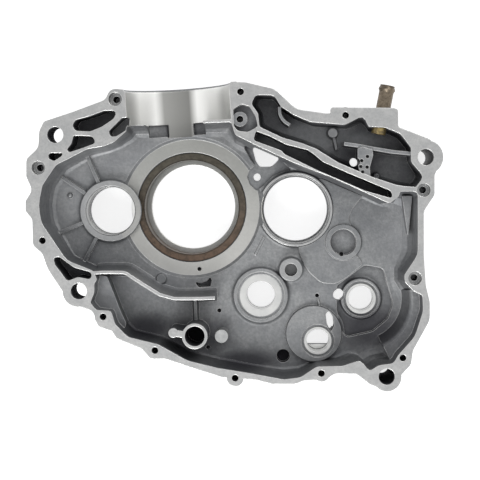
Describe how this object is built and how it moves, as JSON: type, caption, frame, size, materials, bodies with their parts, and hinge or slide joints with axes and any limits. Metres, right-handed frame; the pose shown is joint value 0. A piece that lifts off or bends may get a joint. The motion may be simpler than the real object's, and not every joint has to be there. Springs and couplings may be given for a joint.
{
  "type": "crankcase half",
  "caption": "Cast aluminium crankcase half of a single-cylinder engine with a half cylinder mouth, crank and gearbox bearing seats, walled oil and breather chambers and mounting lugs.",
  "frame": {"origin": "middle of the crank bearing seat, on the crank axis", "axes": "+Z along the crank axis out of the joint face, +Y towards the cylinder deck (the cylinder leans 4 degrees to -X), +X towards the gearbox"},
  "size_m": [0.31, 0.2302, 0.06],
  "materials": {
    "casting": "as cast, with machined faces",
    "liner": "machined, oily",
    "bush": "machined",
    "pipe": "yellow zinc plate",
    "pin": "ground"
  },
  "bodies": {
    "root": {"casting": "casting", "crank_liner": "liner", "layshaft_bush": "bush", "drum_bush": "bush", "shift_bush": "bush", "breather_pipe": "pipe", "stop_pin": "pin"}
  },
  "joints": []
}
